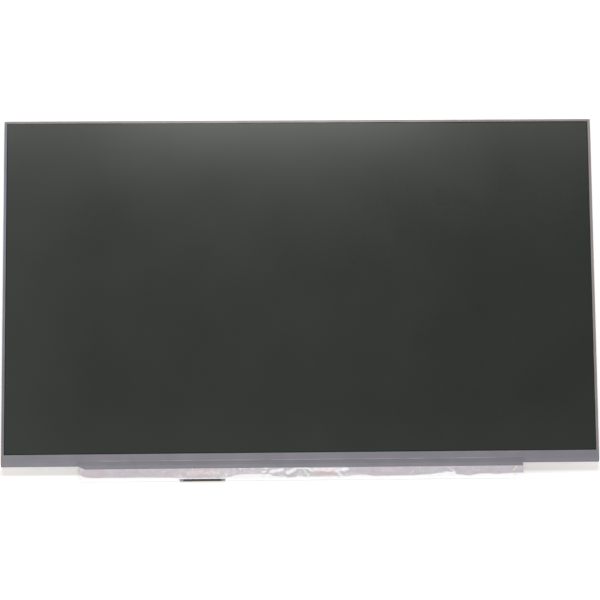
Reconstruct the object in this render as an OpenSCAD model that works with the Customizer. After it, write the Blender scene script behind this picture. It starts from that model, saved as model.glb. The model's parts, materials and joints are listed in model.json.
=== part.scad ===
// Laptop screen panel: a bare wide liquid-crystal display module without brackets, lying on its back.
// Millimetres. +Z faces the viewer, +Y is the picture's top and +X is the viewer's right.
// The origin is the middle of the back plate's rear face, which the panel rests on.

/* [Picture and borders] */
// Width of the picture area
view_w = 344.16; // [312:0.01:360]
// Height of the picture area
view_h = 193.59; // [172:0.01:205]
// Border left and right of the picture area
side_border = 3.25; // [3.1:0.05:8]
// Border above the picture area
top_border = 2.5; // [2.3:0.05:8]
// Border below the picture area, without the board
bottom_border = 8.61; // [8.2:0.01:14]
// Rim that shows left and right of the glass
side_rim = 1.57; // [1.4:0.01:1.9]
// Rim that shows above the glass
top_rim = 1.28; // [1.1:0.01:1.5]
// Radius of the body's four corners
corner_r = 0.5; // [0.2:0.05:1]

/* [Back plate] */
// Sheet thickness of the back plate
plate_t = 0.3; // [0.2:0.05:0.35]
// Step that sets the plate's edge band in from its rear face
joggle = 0.12; // [0.08:0.01:0.14]
// Height of the folded walls above the rear face
plate_wall = 1.7; // [1.5:0.05:1.85]
// Outer radius of the folds
bend_r = 0.45; // [0.4:0.01:0.55]
// Notch between the folds at each corner
corner_relief = 1.1; // [0.8:0.1:2]
// Length of the windows that hold the frame's lugs
window_l = 6; // [4:0.5:10]
// Height of these windows
window_h = 0.7; // [0.5:0.05:0.8]

/* [Middle frame] */
// Clearance between the frame and the plate's walls
fit_gap = 0.05; // [0.03:0.01:0.08]
// Thickness of the frame's left and right walls beside the light guide
frame_side = 1.92; // [1.7:0.01:2.2]
// Thickness of the frame's top wall
frame_top = 1.6; // [1.4:0.01:1.7]
// Thickness of the frame's bottom bar
frame_bottom = 0.79; // [0.6:0.01:0.9]
// Distance from the body's lower edge to the inner edge of the shelf over the lights
shelf_reach = 5.6; // [5.2:0.05:6.4]
// Thickness of that shelf
shelf_t = 0.37; // [0.3:0.01:0.4]
// Width of the sheets' locating ears
ear_w = 6; // [4:0.5:9]
// How far the ears reach into the frame's wall
ear_reach = 0.7; // [0.4:0.05:0.9]
// Clearance round an ear and round a lug
ear_gap = 0.1; // [0.05:0.01:0.15]
// Clearance between the glass and the rim
cell_gap = 0.1; // [0.05:0.01:0.2]

/* [Backlight] */
// Thickness of the reflector sheet
reflector_t = 0.15; // [0.14:0.01:0.2]
// Thickness of the light guide
guide_t = 0.55; // [0.52:0.01:0.7]
// Clearance between the light guide and the frame's walls
guide_gap = 0.15; // [0.1:0.01:0.2]
// Height of the light guide's lower edge above the body's lower edge
guide_entry = 4.4; // [4.3:0.05:4.6]
// Thickness of the lower diffuser
lower_diffuser_t = 0.08; // [0.05:0.01:0.12]
// Thickness of each prism sheet
prism_t = 0.13; // [0.1:0.01:0.18]
// Thickness of the upper diffuser
upper_diffuser_t = 0.08; // [0.05:0.01:0.12]
// Clearance between these sheets and the frame's walls
sheet_gap = 0.25; // [0.2:0.01:0.4]
// Thickness of the flexible strip that carries the lights
strip_flex_t = 0.09; // [0.07:0.01:0.1]
// Thickness of the adhesive under the strip
strip_glue_t = 0.03; // [0.02:0.005:0.04]
// Height of the strip's lower edge above the body's lower edge
strip_low = 1.6; // [1.5:0.05:2]
// Number of lights
led_count = 48; // [24:1:56]
// Width of a light package
led_w = 3; // [2.4:0.1:3.8]
// Depth of a light package
led_d = 0.85; // [0.6:0.05:1]
// Height of a light package
led_h = 0.55; // [0.4:0.01:0.56]
// Gap between the lights and the light guide
led_gap = 0.1; // [0.05:0.01:0.2]
// Wall of a light package round its window
led_wall = 0.09; // [0.06:0.01:0.12]
// Depth of that window
led_window = 0.3; // [0.15:0.05:0.4]
// Width of the strip's tail
tail_w = 8; // [6:0.5:10]

/* [Glass cell] */
// Thickness of the rim tape under the cell
rim_tape_t = 0.06; // [0.04:0.01:0.1]
// Thickness of the rear polariser
rear_polariser_t = 0.12; // [0.1:0.01:0.2]
// Thickness of the array glass
array_glass_t = 0.4; // [0.3:0.05:0.5]
// Thickness of the colour-filter glass
filter_glass_t = 0.4; // [0.3:0.05:0.5]
// Thickness of the front polariser
front_polariser_t = 0.2; // [0.1:0.01:0.3]
// How far the array glass sticks out below the colour-filter glass
ledge = 1.7; // [1.6:0.05:2.2]
// Bare glass between the front polariser and the tapes
bare_margin = 0.6; // [0.3:0.05:0.9]
// Cut at the corners of the two glasses
glass_cut = 0.4; // [0.2:0.05:0.8]

/* [Driver films and board] */
// Number of driver films
film_count = 4; // [3:1:6]
// Width of a driver film
film_w = 36; // [24:1:40]
// Thickness of a driver film
film_t = 0.05; // [0.03:0.01:0.06]
// How far the board's front face lies behind the array glass's front face
film_drop = 0.05; // [0.02:0.01:0.1]
// Length of a film's bond on the glass and on the board
film_bond = 1.3; // [1:0.05:1.4]
// Length of a driver chip
driver_chip_l = 20; // [14:1:23]
// Width of a driver chip
driver_chip_w = 0.9; // [0.7:0.05:1]
// Thickness of a driver chip
driver_chip_t = 0.35; // [0.25:0.05:0.5]
// Width of the board
board_w = 260; // [250:1:272]
// Height of the board
board_h = 6.3; // [6.1:0.1:8]
// Thickness of the board
board_t = 0.5; // [0.4:0.05:0.6]
// Gap between the body's lower edge and the board
board_gap = 1.6; // [1.5:0.1:2.5]
// Radius of the board's corners
board_corner_r = 0.8; // [0.4:0.1:2]
// Radius of the board's tooling holes
tooling_hole_r = 0.75; // [0.5:0.05:1]

/* [Connector] */
// Number of contacts
contact_count = 40; // [30:2:44]
// Distance between contacts
contact_pitch = 0.5; // [0.4:0.05:0.5]
// Width of a contact
contact_w = 0.2; // [0.15:0.01:0.25]
// Place of the connector's middle along the board
connector_x = -58; // [-60:0.5:-54]
// Width of the connector beyond its row of contacts, both ends together
connector_ends = 6.6; // [5:0.1:8]
// Depth of the connector
connector_d = 5.3; // [4.8:0.1:5.6]
// Height of the connector on the board
connector_h = 1.2; // [1.15:0.01:1.3]
// How far the connector stands out past the board's lower edge
connector_overhang = 1.35; // [0.5:0.05:1.4]
// Sheet thickness of the connector's shell
shell_t = 0.15; // [0.1:0.01:0.18]
// Height of the slot that the plug slides into
slot_h = 0.55; // [0.45:0.01:0.6]

/* [Covers] */
// Thickness of the tapes along the edges
tape_t = 0.06; // [0.04:0.01:0.08]
// How far the edge tapes lap on to the back plate
tape_lap = 1.4; // [0.8:0.1:1.45]
// Height of the front strip tape above the body's lower edge
strip_h = 7.05; // [6.6:0.05:7.5]
// Bare rim at each end of the front strip tape
strip_end = 0.5; // [0.2:0.05:1]
// How far the strip tape reaches down over the driver films
strip_drop = 1.7; // [1:0.1:2.2]
// Slant at the strip tape's lower left corner
strip_slant = 3.8; // [1:0.1:8]
// Thickness of the foil over the board
foil_t = 0.06; // [0.04:0.01:0.08]
// How far the foil reaches past each end of the board
foil_end = 0.35; // [0.1:0.05:1]
// Radius of the foil's turn round the board's lower edge
foil_turn_r = 2; // [1.8:0.05:2.3]
// How far the foil's turn stands out past the board's lower edge
foil_bulge = 1.05; // [0.8:0.05:1.2]

/* [Hidden] */

// Reach of a cutting tool past the face that it cuts
eps = 0.5;
// Depth that a rib or shelf is rooted in the wall that carries it
root = 0.1;
// Facets of a full circle
$fn = 48;
// Steps of a smooth bend in a film, and of the foil's turn
bend_steps = 8;
turn_steps = 10;

// Body outline, and the outline of plate and frame inside the tapes
panel_w = view_w + 2 * side_border;
panel_h = view_h + top_border + bottom_border;
half_w = panel_w / 2;
half_h = panel_h / 2;
case_x = half_w - tape_t;
case_y = half_h - tape_t;

// Heights of a point above the body's lower edge and below its upper edge, as Y
function above(d) = -half_h + d;
function below(d) = half_h - d;

// Levels from the rear face to the picture
floor_z = plate_t;
band_z = joggle + plate_t;
guide_z = floor_z + reflector_t;
lower_diffuser_z = guide_z + guide_t;
lower_prism_z = lower_diffuser_z + lower_diffuser_t;
upper_prism_z = lower_prism_z + prism_t;
upper_diffuser_z = upper_prism_z + prism_t;
ledge_z = upper_diffuser_z + upper_diffuser_t;
rear_polariser_z = ledge_z + rim_tape_t;
array_z = rear_polariser_z + rear_polariser_t;
filter_z = array_z + array_glass_t;
glass_front_z = filter_z + filter_glass_t;

// Middle frame, its light box and its glass pocket
frame_out = plate_t + fit_gap;
box_x = case_x - frame_out - frame_side;
box_top = case_y - frame_out - frame_top;
box_bottom = -case_y + frame_out + frame_bottom;
rim_z = plate_wall + fit_gap;
rim_cover = 0.08;
least_corner_r = 0.1;
pocket_x = half_w - side_rim + rim_cover;
pocket_top = below(top_rim) + rim_cover;

// Plate: the step between its rear face and its edge band lies under the frame's walls
step_gap = 0.07;
band_side = frame_out + frame_side - step_gap - plate_t;
band_top = frame_out + frame_top - step_gap - plate_t;
band_bottom = frame_out + frame_bottom - step_gap - plate_t;
plateau_r = 2;
window_rise = 0.1;
window_z = joggle + bend_r + window_rise;
side_lugs = [-75, -25, 30, 80];
top_lugs = [-140, -70, 0, 70, 140];
bottom_lug_inset = 20;
bottom_lugs = [-case_x + bottom_lug_inset, case_x - bottom_lug_inset];

// Sheets of the light box
left_ears = [-35, 55];
right_ears = [-60, 55];
top_ears = [-90, 75];
ear_root = 1;
guide_x = box_x - guide_gap;
guide_top = box_top - guide_gap;
sheet_x = box_x - sheet_gap;
sheet_top = box_top - sheet_gap;
sheet_low = above(shelf_reach) + ear_gap;
reflector_gap = 0.1;

// Lights on their strip
strip_z = floor_z + strip_glue_t;
led_z = strip_z + strip_flex_t;
led_front = above(guide_entry) - led_gap;
led_pitch = view_w / led_count;
strip_end_gap = 1.5;
stop_gap = 0.2;
guide_bond = 0.55;
glue_inset = 0.1;
strip_high = above(guide_entry) + guide_bond;
strip_x = box_x - strip_end_gap;

// Glass cell
cell_x = pocket_x - cell_gap;
cell_top = pocket_top - cell_gap;
array_low = box_bottom + cell_gap;
filter_low = array_low + ledge;
polariser_inset = 0.35;
rim_tape_inset = 0.6;
tape_over_view = 0.12;
shown_x = half_w - side_rim;
shown_top = below(top_rim);
shown_low = above(strip_h);

// Board, hung on the driver films below the body
board_front_z = filter_z - film_drop;
board_rear_z = board_front_z - board_t;
board_top = above(-board_gap);
board_low = board_top - board_h;
film_pitch = board_w / film_count;
film_xs = [for (i = [0 : film_count - 1]) (i - (film_count - 1) / 2) * film_pitch];
film_gap = 0.2;
film_high = filter_low - film_gap;
film_low = board_top - film_bond;
film_run_out = 0.1;
film_ease_high = array_low - film_run_out;
film_ease_low = above(film_run_out);
drive_margin = 3.5;
drive_x = board_w / 2 + drive_margin;
drive_bar_gap = 0.1;
drive_bar_z = filter_z - drive_bar_gap;
driver_chip_gap = 0.35;
driver_chip_y = above(-driver_chip_gap) - driver_chip_w / 2;
tooling_inset = 4;

// Connector, hung on the board's rear face
connector_w = contact_count * contact_pitch + connector_ends;
connector_low = board_low - connector_overhang;
connector_high = connector_low + connector_d;
connector_left = connector_x - connector_w / 2;
connector_right = connector_x + connector_w / 2;
housing_x = connector_w / 2 - shell_t;
housing_z = board_rear_z - connector_h + shell_t;
slot_floor_t = 0.2;
slot_z = housing_z + slot_floor_t;
slot_end = 1.3;
slot_x = contact_count * contact_pitch / 2 + slot_end;
slot_d = 3.4;
channel_gap = 0.05;
contact_t = 0.12;
contact_tip = 0.6;
contact_z = slot_z + slot_h - contact_t / 2;
contact_xs = [for (i = [0 : contact_count - 1]) connector_x + (i - (contact_count - 1) / 2) * contact_pitch];
foot_l = 0.7;
foot_bend_in = 0.3;
foot_bend_l = 0.4;
shell_set_back = 0.4;
flap_w = 2.2;
flap_gap = 0.1;
flap_d = connector_overhang - flap_gap;

// Tail of the light strip, between the connector and the board's left end
tail_offset = 33;
tail_x = connector_left - tail_offset;
tail_slot_h = 0.5;
tail_rise = 0.05;
tail_z = band_z + tail_rise + strip_flex_t / 2;
tail_gap = 0.4;
tail_lead = 0.5;
tail_run_out = 0.1;
tail_pad = 2.6;

// Parts on the board stand on a grid, and round the chip that they serve
grid = 1;
timing_x = connector_right + 44 * grid;
power_x = connector_right + 13 * grid;
memory_x = timing_x + 10 * grid;
gamma_x = timing_x + 40 * grid;
backlight_x = connector_left - 13 * grid;
timing_size = [8.6, 4.6, 0.95];
timing_base = [9, 5, 0.35];
chip_h = 0.75;
power_size = [4, 4, chip_h];
gamma_size = [4, 4, chip_h];
backlight_size = [3.5, 3.5, chip_h];
memory_size = [3, 2, chip_h];
dot_inset = 0.6;
dot_r = 0.25;
dot_d = 0.05;

// Distances of the parts' rows below the board's top edge
mid = board_h / 2;
row_inset = 0.75;
upper_row = row_inset;
lower_row = board_h - row_inset;
pair_gap = 1.2;
tight_gap = 1;
size_s = [1, 0.5, 0.45];
size_m = [1.6, 0.8, 0.7];
size_l = [2, 1.25, 0.9];
end_l = 0.25;
end_lip = 0.03;
// Each row: first X, number of parts, step, distance below the board's top edge, size
capacitor_rows = [
    [connector_left - 5 * grid, 2, -3 * grid, mid, size_l],
    [connector_left - 10 * grid, 4, -2 * grid, upper_row, size_s],
    [tail_x - 7 * grid, 4, -2 * grid, mid - tight_gap, size_s],
    [power_x - 9 * grid, 8, 2.4 * grid, upper_row, size_s],
    [power_x - 9 * grid, 8, 2.4 * grid, lower_row, size_s],
    [timing_x - 18 * grid, 4, 2.6 * grid, mid - pair_gap, size_m],
    [timing_x - 18 * grid, 4, 2.6 * grid, mid + pair_gap, size_m],
    [timing_x + 8 * grid, 10, 2.6 * grid, upper_row, size_s],
    [gamma_x - 4 * grid, 5, 2 * grid, upper_row, size_s],
    [gamma_x + 8 * grid, 8, 3.4 * grid, mid, size_l],
    [gamma_x + 9 * grid, 8, 4 * grid, upper_row, size_s],
    [gamma_x + 44 * grid, 12, 2.8 * grid, upper_row, size_s],
    [gamma_x + 46 * grid, 6, 4.8 * grid, mid, size_m]
];
resistor_rows = [
    [connector_left - 10 * grid, 4, -2 * grid, lower_row, size_s],
    [tail_x + 5 * grid, 6, -2 * grid, lower_row, size_s],
    [tail_x - 7 * grid, 4, -2 * grid, mid + tight_gap, size_s],
    [memory_x + 5 * grid, 8, 2.4 * grid, mid - pair_gap, size_s],
    [memory_x + 5 * grid, 8, 2.4 * grid, mid + pair_gap, size_s],
    [timing_x + 8 * grid, 10, 2.6 * grid, lower_row, size_s],
    [gamma_x - 4 * grid, 5, 2 * grid, lower_row, size_s],
    [gamma_x + 9 * grid, 8, 4 * grid, lower_row, size_s],
    [gamma_x + 44 * grid, 8, 2.8 * grid, lower_row, size_s]
];
// Each inductor: X, side length
inductor_places = [[backlight_x - 7 * grid, 4], [power_x - 6 * grid, 3], [power_x + 6 * grid, 3]];
inductor_h = 1;
inductor_diagonal = 1.25;
drum_share = 0.4;
drum_core_share = 0.33;
drum_groove = 0.1;
// X of each diode
diode_places = [backlight_x - 11.5 * grid, power_x + 11 * grid];
diode_size = [1.5, 2.2, 0.9];
diode_end = [1, end_l, 0.2];

// Foil: from under the strip tape to its turn round the board's lower edge
foil_inset = 0.4;
foil_high = above(-foil_inset);
foil_turn_y = board_low - foil_bulge + foil_turn_r;
foil_run_out = 0.3;
foil_flat_low = above(-strip_drop) - foil_run_out;
foil_top_z = filter_z + film_t - film_drop;
foil_rise = 0.45;
foil_turn_z = board_front_z + foil_t + foil_rise - foil_turn_r;
foil_mid_r = foil_turn_r - foil_t / 2;
foil_x = board_w / 2 + foil_end;
foil_window_gap = 0.6;
foil_window_lap = 0.4;

// Strip tape: its dip over the driver films, and the blend at each end of the dip
dip_top = 0.5;
dip_y = above(dip_top);
dip_z = foil_top_z + foil_t;
dip_blend = 3;
slice = 0.01;

plate_colour = [0.76, 0.77, 0.79];
frame_colour = [0.42, 0.41, 0.43];
tape_colour = [0.53, 0.52, 0.55];
foil_colour = [0.80, 0.77, 0.81];
white_colour = [0.95, 0.95, 0.94];
sheet_colour = [0.88, 0.90, 0.92];
glass_colour = [0.16, 0.17, 0.17];
screen_colour = [0.24, 0.25, 0.24];
flex_colour = [0.72, 0.47, 0.16];
board_colour = [0.08, 0.30, 0.20];
chip_colour = [0.09, 0.09, 0.10];
metal_colour = [0.72, 0.72, 0.70];
gold_colour = [0.85, 0.68, 0.32];
glue_colour = [0.82, 0.80, 0.70];
phosphor_colour = [0.96, 0.86, 0.35];
ceramic_colour = [0.62, 0.50, 0.38];

// A flat sheet, centred on X, between two Y values
module sheet(x, low, high, z, t) {
    translate([-x, low, z])
        cube([2 * x, high - low, t]);
}

// A rectangle with round corners
module round_rect(w, h, r) {
    square([w - 2 * r, h], center = true);
    square([w, h - 2 * r], center = true);
    for (x = [-1, 1], y = [-1, 1])
        translate([x * (w / 2 - r), y * (h / 2 - r)])
            circle(r);
}

// A rectangle between four values
module rect(left, low, right, high) {
    translate([left, low])
        square([right - left, high - low]);
}

// A Y-Z section drawn out along X
module run(l) {
    rotate([90, 0, 90])
        linear_extrude(l, center = true)
            children();
}

// Frames at the middle of each side: +Y points into the body from the outer face of the case
module at_bottom() translate([0, -case_y, 0]) children();
module at_top() translate([0, case_y, 0]) rotate(180) children();
module at_left() translate([-case_x, 0, 0]) rotate(-90) children();
module at_right() translate([case_x, 0, 0]) rotate(90) children();

// Outline of a ribbon of thickness t that follows a path of [y, z] points
function unit(v) = v / norm(v);
function heading(p, i) = unit(p[min(i + 1, len(p) - 1)] - p[max(i - 1, 0)]);
function shifted(p, d) = [for (i = [0 : len(p) - 1]) p[i] + d * [-heading(p, i).y, heading(p, i).x]];
function reversed(p) = [for (i = [len(p) - 1 : -1 : 0]) p[i]];
function ribbon(p, t) = concat(shifted(p, t / 2), reversed(shifted(p, -t / 2)));

// Points of a smooth step from a to b
function ease(a, b) =
    [for (i = [0 : bend_steps])
        [a.x + (b.x - a.x) * i / bend_steps, a.y + (b.y - a.y) * (1 - cos(180 * i / bend_steps)) / 2]];

// A wall with its fold, rooted in the plate's edge band
module folded_wall(l) {
    run(l) {
        translate([bend_r, joggle])
            square([root, plate_t]);
        translate([0, joggle + bend_r])
            square([plate_t, plate_wall - joggle - bend_r]);
        intersection() {
            translate([bend_r, joggle + bend_r])
                difference() {
                    circle(bend_r);
                    circle(bend_r - plate_t);
                }
            translate([0, joggle])
                square(bend_r);
        }
    }
}

module wall_windows(places) {
    for (x = places)
        translate([x - window_l / 2, -eps, window_z])
            cube([window_l, plate_t + 2 * eps, window_h]);
}

module tail_slot() {
    translate([tail_x - tail_w / 2 - tail_gap, -case_y - eps, band_z])
        cube([tail_w + 2 * tail_gap, frame_out + frame_bottom + 2 * eps, tail_slot_h]);
}

// Outline of the plate's rear face, drawn in by an inset
module plateau(inset) {
    low = -case_y + band_bottom + inset;
    high = case_y - band_top - inset;
    translate([0, (low + high) / 2])
        round_rect(2 * (case_x - band_side - inset), high - low, plateau_r - inset);
}

module plate_band() {
    difference() {
        square([2 * (case_x - bend_r), 2 * (case_y - bend_r)], center = true);
        plateau(plate_t);
        for (x = [-1, 1], y = [-1, 1])
            translate([x * case_x, y * case_y])
                square(2 * corner_relief, center = true);
    }
}

module back_plate() {
    side_l = 2 * (case_y - corner_relief);
    end_l = 2 * (case_x - corner_relief);
    color(plate_colour)
        difference() {
            union() {
                linear_extrude(plate_t)
                    plateau(0);
                translate([0, 0, joggle])
                    linear_extrude(plate_t)
                        plate_band();
                at_left() folded_wall(side_l);
                at_right() folded_wall(side_l);
                at_top() folded_wall(end_l);
                at_bottom() folded_wall(end_l);
            }
            at_left() wall_windows(side_lugs);
            at_right() wall_windows(side_lugs);
            at_top() wall_windows(top_lugs);
            at_bottom() wall_windows(bottom_lugs);
            tail_slot();
        }
}

// Wedge-shaped lugs that snap into the plate's windows
module lugs(places) {
    low = window_z + ear_gap;
    high = window_z + window_h - ear_gap;
    for (x = places)
        translate([x, 0, 0])
            run(window_l - 2 * ear_gap)
                polygon([[frame_out, low], [fit_gap, low], [fit_gap, (low + high) / 2], [frame_out, high]]);
}

// Ears along one side, from inside the light box into the wall
module ears(places, wall, reach, w, z, t) {
    for (x = places)
        translate([x - w / 2, wall - reach, z])
            cube([w, reach + ear_root, t]);
}

module all_ears(reach, w, z, t) {
    side_wall = frame_out + frame_side;
    at_left() ears([for (y = left_ears) -y], side_wall, reach, w, z, t);
    at_right() ears(right_ears, side_wall, reach, w, z, t);
    at_top() ears([for (x = top_ears) -x], frame_out + frame_top, reach, w, z, t);
}

module frame_section(z, t, outset) {
    r = max(corner_r - outset, least_corner_r);
    translate([0, 0, z])
        linear_extrude(t)
            difference() {
                round_rect(2 * (case_x - outset), 2 * (case_y - outset), r);
                children();
            }
}

// Block at each end of the lights that the light guide's corner stands on
module guide_stop() {
    translate([strip_x + stop_gap, box_bottom - root, band_z])
        cube([
            box_x - strip_x - stop_gap + root,
            above(guide_entry) - led_gap / 2 - box_bottom + root,
            ledge_z - shelf_t - band_z + root
        ]);
}

module middle_frame() {
    toe = bend_r - frame_out;
    color(frame_colour)
        difference() {
            union() {
                frame_section(band_z, toe, frame_out + toe)
                    rect(-box_x, box_bottom, box_x, box_top);
                frame_section(band_z + toe, ledge_z - band_z - toe, frame_out)
                    rect(-box_x, box_bottom, box_x, box_top);
                frame_section(ledge_z, rim_z - ledge_z, frame_out)
                    rect(-pocket_x, box_bottom, pocket_x, pocket_top);
                frame_section(rim_z, glass_front_z - rim_z, 0)
                    rect(-pocket_x, box_bottom, pocket_x, pocket_top);
                sheet(box_x + root, box_bottom - root, above(shelf_reach), ledge_z - shelf_t, shelf_t);
                for (side = [-1, 1])
                    scale([side, 1, 1])
                        guide_stop();
                at_left() lugs(side_lugs);
                at_right() lugs(side_lugs);
                at_top() lugs(top_lugs);
                at_bottom() lugs(bottom_lugs);
            }
            all_ears(ear_reach + ear_gap, ear_w + 2 * ear_gap, band_z - eps, ledge_z - band_z + eps);
            tail_slot();
            // The bar is low where the driver films pass over it
            sheet(drive_x, -case_y - eps, box_bottom + root, drive_bar_z, glass_front_z);
            sheet(drive_x, -case_y - eps, -case_y + frame_out, rim_z, glass_front_z);
        }
}

module reflector_sheet() {
    color(white_colour)
        translate([0, 0, floor_z])
            linear_extrude(reflector_t)
                intersection() {
                    plateau(plate_t + reflector_gap);
                    rect(-half_w, strip_high + reflector_gap, half_w, half_h);
                }
}

module light_guide() {
    color(sheet_colour) {
        sheet(guide_x, above(guide_entry), guide_top, guide_z, guide_t);
        all_ears(ear_reach, ear_w, guide_z, guide_t);
    }
}

module optical_sheet(z, t) {
    sheet(sheet_x, sheet_low, sheet_top, z, t);
    all_ears(ear_reach, ear_w, z, t);
}

module lower_diffuser() {
    color(white_colour)
        optical_sheet(lower_diffuser_z, lower_diffuser_t);
}

module lower_prism_sheet() {
    color(sheet_colour)
        optical_sheet(lower_prism_z, prism_t);
}

module upper_prism_sheet() {
    color(sheet_colour)
        optical_sheet(upper_prism_z, prism_t);
}

module upper_diffuser() {
    color(white_colour)
        optical_sheet(upper_diffuser_z, upper_diffuser_t);
}

// The strip's tail passes the bar and the plate's wall and rises to the board's rear face
tail_path = concat(
    ease([above(strip_low + tail_lead), strip_z + strip_flex_t / 2], [box_bottom + tail_run_out, tail_z]),
    ease([above(0), tail_z], [board_top - tail_lead, board_rear_z - strip_flex_t / 2]),
    [[board_top - tail_pad, board_rear_z - strip_flex_t / 2]]
);

module light_strip() {
    color(flex_colour) {
        sheet(strip_x, above(strip_low), strip_high, strip_z, strip_flex_t);
        translate([tail_x, 0, 0])
            run(tail_w)
                polygon(ribbon(tail_path, strip_flex_t));
    }
}

// One copy for each light, with its front face on Y = 0 and its foot on Z = 0
module each_light() {
    for (i = [0 : led_count - 1])
        translate([(i - (led_count - 1) / 2) * led_pitch, led_front, led_z])
            children();
}

module light_window() {
    translate([-led_w / 2 + 2 * led_wall, -led_window, led_wall])
        cube([led_w - 4 * led_wall, led_window, led_h - 2 * led_wall]);
}

module light_packages() {
    color(white_colour)
        each_light()
            difference() {
                translate([-led_w / 2, -led_d, 0])
                    cube([led_w, led_d, led_h]);
                light_window();
            }
}

module phosphor_windows() {
    color(phosphor_colour)
        each_light()
            light_window();
}

module strip_adhesive() {
    color(glue_colour)
        sheet(strip_x, above(strip_low) + glue_inset, strip_high - glue_inset, floor_z, strip_glue_t);
}

module light_guide_adhesive() {
    color(glue_colour)
        sheet(strip_x, above(guide_entry), strip_high, led_z, guide_z - led_z);
}

module rim_tape() {
    color(chip_colour)
        translate([0, 0, ledge_z])
            linear_extrude(rim_tape_t)
                difference() {
                    rect(-cell_x, array_low + rim_tape_inset, cell_x, cell_top);
                    rect(
                        -view_w / 2 - tape_over_view, above(bottom_border - tape_over_view),
                        view_w / 2 + tape_over_view, below(top_border - tape_over_view)
                    );
                }
}

module rear_polariser() {
    color(glass_colour)
        sheet(
            cell_x - polariser_inset, array_low + 2 * polariser_inset, cell_top - polariser_inset,
            rear_polariser_z, rear_polariser_t
        );
}

// A glass with its four corners cut off
module glass(low, z, t) {
    high = cell_top;
    c = glass_cut;
    translate([0, 0, z])
        linear_extrude(t)
            polygon([
                [-cell_x + c, low], [cell_x - c, low], [cell_x, low + c], [cell_x, high - c],
                [cell_x - c, high], [-cell_x + c, high], [-cell_x, high - c], [-cell_x, low + c]
            ]);
}

module array_glass() {
    color(glass_colour)
        glass(array_low, array_z, array_glass_t);
}

module colour_filter_glass() {
    color(glass_colour)
        glass(filter_low, filter_z, filter_glass_t);
}

module front_polariser() {
    color(screen_colour)
        sheet(
            shown_x - bare_margin, shown_low + bare_margin, shown_top - bare_margin,
            glass_front_z, front_polariser_t
        );
}

// Middle line of a driver film, from its bond on the array glass to its bond on the board
film_path = concat(
    [[film_high, filter_z + film_t / 2]],
    ease([film_ease_high, filter_z + film_t / 2], [film_ease_low, board_front_z + film_t / 2]),
    [[film_low, board_front_z + film_t / 2]]
);

module driver_films() {
    color(flex_colour)
        for (x = film_xs)
            translate([x, 0, 0])
                run(film_w)
                    polygon(ribbon(film_path, film_t));
}

module driver_chips() {
    color(chip_colour)
        for (x = film_xs)
            translate([x, driver_chip_y, board_front_z - driver_chip_t / 2])
                cube([driver_chip_l, driver_chip_w, driver_chip_t], center = true);
}

module circuit_board() {
    color(board_colour)
        translate([0, board_top - board_h / 2, board_rear_z])
            linear_extrude(board_t)
                difference() {
                    round_rect(board_w, board_h, board_corner_r);
                    for (x = [-1, 1])
                        translate([x * (board_w / 2 - tooling_inset), 0])
                            circle(tooling_hole_r);
                }
}

// A moulded block with a slot for the plug and one channel for each contact in its rear wall
module connector_housing() {
    back = connector_high - foot_l;
    channel_w = contact_w + 2 * channel_gap;
    color(chip_colour)
        difference() {
            translate([connector_x - housing_x, connector_low, housing_z])
                cube([2 * housing_x, back - connector_low, board_rear_z - housing_z]);
            translate([connector_x - slot_x, connector_low - eps, slot_z])
                cube([2 * slot_x, slot_d + eps, slot_h]);
            for (x = contact_xs)
                translate([x - channel_w / 2, connector_low + slot_d - root, slot_z + slot_h - contact_t])
                    cube([channel_w, back - connector_low, board_rear_z]);
        }
}

// A contact lies under the roof of the slot, leaves at the rear and stands on the board
contact_path = [
    [connector_low + contact_tip, contact_z],
    [connector_high - foot_l - foot_bend_in, contact_z],
    [connector_high - foot_l - foot_bend_in + foot_bend_l, board_rear_z - contact_t / 2],
    [connector_high, board_rear_z - contact_t / 2]
];

module connector_contacts() {
    color(gold_colour)
        for (x = contact_xs)
            translate([x, 0, 0])
                run(contact_w)
                    polygon(ribbon(contact_path, contact_t));
}

// A stamped cover, folded up at both ends and over the corners of the mouth
module connector_shell() {
    back = connector_high - foot_l - shell_set_back;
    color(metal_colour) {
        translate([connector_x - connector_w / 2, connector_low, housing_z - shell_t])
            cube([connector_w, back - connector_low, shell_t]);
        for (side = [-1, 1])
            translate([connector_x, 0, 0])
                scale([side, 1, 1]) {
                    translate([housing_x, connector_low, housing_z - shell_t])
                        cube([shell_t, back - connector_low, board_rear_z - housing_z + shell_t]);
                    translate([connector_w / 2 - flap_w, connector_low, board_rear_z])
                        cube([flap_w, flap_d, shell_t]);
                }
    }
}

// A chip on the board's rear face, with a dot over its first contact
module chip(x, size) {
    translate([x, board_top - mid, board_rear_z - size.z])
        difference() {
            translate([-size.x / 2, -size.y / 2, 0])
                cube(size);
            translate([-size.x / 2 + dot_inset, size.y / 2 - dot_inset, -eps])
                cylinder(r = dot_r, h = eps + dot_d);
        }
}

// The largest chip: a moulded block on a wider base
module timing_controller() {
    color(chip_colour) {
        chip(timing_x, timing_size);
        translate([timing_x, board_top - mid, board_rear_z - timing_base.z / 2])
            cube(timing_base, center = true);
    }
}

module power_chip() {
    color(chip_colour)
        chip(power_x, power_size);
}

module backlight_chip() {
    color(chip_colour)
        chip(backlight_x, backlight_size);
}

module gamma_chip() {
    color(chip_colour)
        chip(gamma_x, gamma_size);
}

module memory_chip() {
    color(chip_colour)
        chip(memory_x, memory_size);
}

// Shielded inductors: a ferrite block with its corners cut and a round drum in its face
module inductors() {
    color(chip_colour)
        for (p = inductor_places)
            translate([p[0], board_top - mid, board_rear_z - inductor_h])
                difference() {
                    linear_extrude(inductor_h)
                        intersection() {
                            square(p[1], center = true);
                            rotate(45)
                                square(p[1] * inductor_diagonal, center = true);
                        }
                    translate([0, 0, -eps])
                        linear_extrude(eps + drum_groove)
                            difference() {
                                circle(p[1] * drum_share);
                                circle(p[1] * drum_core_share);
                            }
                }
}

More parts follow.
